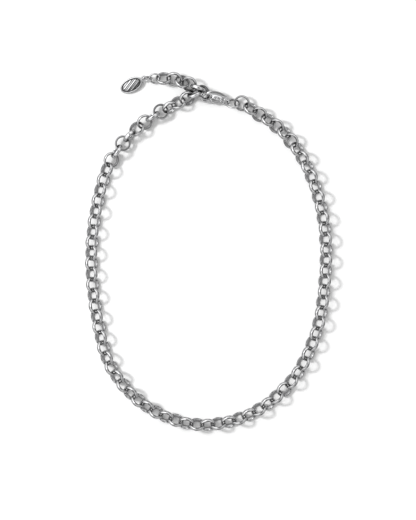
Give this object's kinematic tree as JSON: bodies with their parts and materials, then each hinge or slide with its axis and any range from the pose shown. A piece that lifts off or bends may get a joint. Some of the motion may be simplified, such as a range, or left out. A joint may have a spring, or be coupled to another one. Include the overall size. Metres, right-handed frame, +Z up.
{
  "type": "rolo chain necklace",
  "caption": "Fastened rolo chain necklace with a lobster-style lever clasp, a short extender and a plain oval tag, lying as a loop.",
  "frame": {"origin": "middle of the loop's open inside, on the surface the necklace lies on", "axes": "+Y from the bottom of the loop to the clasp, +Z up from the surface, +X towards the side of the loop that the clasp's eye is on"},
  "size_m": [0.1111, 0.1614, 0.0073],
  "materials": {
    "steel": "polished steel of the links and rings",
    "clasp": "polished steel of the clasp",
    "tag": "polished steel of the tag"
  },
  "bodies": {
    "necklace": {"necklace_chain": "steel", "extender_chain": "steel", "clasp_body": "clasp", "clasp_rivet": "clasp", "eye_ring": "steel", "end_ring": "steel", "tag_ring": "steel", "tag": "tag"},
    "lever": {"clasp_lever": "clasp"}
  },
  "joints": [
    {"name": "lever_open", "type": "hinge", "parent": "necklace", "child": "lever", "pos_m": [0.00448, 0.0729, 0.00255], "axis": [-0.0179, -0.2937, 0.9557], "range_deg": [0, 8], "stiffness_Nm_per_rad": 0.001, "springref_deg": -17.19}
  ]
}
